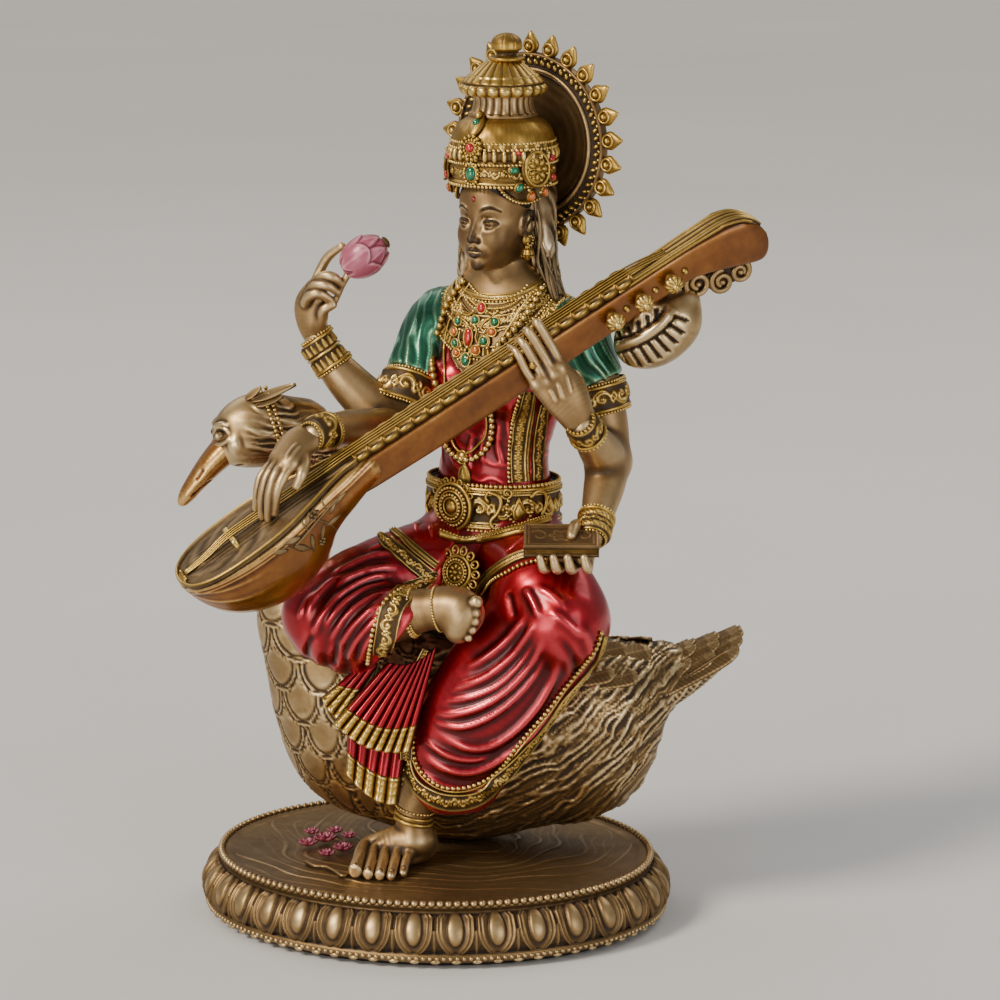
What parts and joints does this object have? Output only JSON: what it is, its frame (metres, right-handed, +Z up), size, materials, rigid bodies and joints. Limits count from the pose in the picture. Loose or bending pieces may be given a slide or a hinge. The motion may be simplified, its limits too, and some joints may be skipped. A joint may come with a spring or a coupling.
{
  "type": "hindu deity statue",
  "caption": "Seated multi-armed goddess playing a veena on a swan, on an oval lotus plinth, in antiqued cold-cast bronze with red, green and amber lacquer and a felt underside.",
  "frame": {"origin": "centre of the underside of the felt pad", "axes": "+Z up; front of the figure towards -Y; X along the swan and the long axis of the plinth, the swan looking towards -X"},
  "size_m": [0.1461, 0.1125, 0.2299],
  "materials": {
    "bronze": "antiqued cold-cast bronze, pale rubbed highlights and dark brown wash in the recesses",
    "gold_ornament": "brighter gilt ornament with dark wash in the recesses",
    "crimson_lacquer": "translucent crimson lacquer over metallic ground",
    "green_lacquer": "translucent green lacquer over metallic ground",
    "amber_lacquer": "glossy amber brown lacquer over metallic ground",
    "pink_paint": "satin pink paint with rubbed edges",
    "felt": "black felt sheet"
  },
  "bodies": {
    "root": {"felt_pad": "felt", "base_plinth": "bronze", "lotus_blossoms": "pink_paint", "swan_body": "bronze", "swan_neck": "bronze", "swan_head": "bronze", "swan_bill": "amber_lacquer", "swan_tail": "bronze", "hips": "crimson_lacquer", "leg_drape_right": "crimson_lacquer", "leg_drape_left": "crimson_lacquer", "pleat_fan": "crimson_lacquer", "pleat_under": "bronze", "foot_right": "bronze", "foot_left": "bronze", "torso": "crimson_lacquer", "belt": "gold_ornament", "belt_buckle": "gold_ornament", "lap_medallion": "gold_ornament", "necklace": "gold_ornament", "neck": "bronze", "head": "bronze", "hair": "bronze", "crown": "gold_ornament", "crown_finial": "gold_ornament", "halo": "bronze", "sleeve_right": "green_lacquer", "upper_arm_right": "bronze", "forearm_right_rear": "bronze", "hand_right_rear": "bronze", "lotus_bud": "pink_paint", "forearm_right_front": "bronze", "hand_right_front": "bronze", "sleeve_left": "green_lacquer", "upper_arm_left": "bronze", "forearm_left_front": "bronze", "hand_left_front": "bronze", "forearm_left_rear": "bronze", "hand_left_rear": "bronze", "book": "gold_ornament", "veena_bowl": "amber_lacquer", "veena_soundboard": "bronze", "veena_neck": "amber_lacquer", "veena_fretboard": "bronze", "veena_bridge": "bronze", "veena_gourd": "bronze", "veena_peg_1": "amber_lacquer", "veena_peg_2": "amber_lacquer", "veena_peg_3": "amber_lacquer", "veena_scroll": "bronze"}
  },
  "joints": []
}
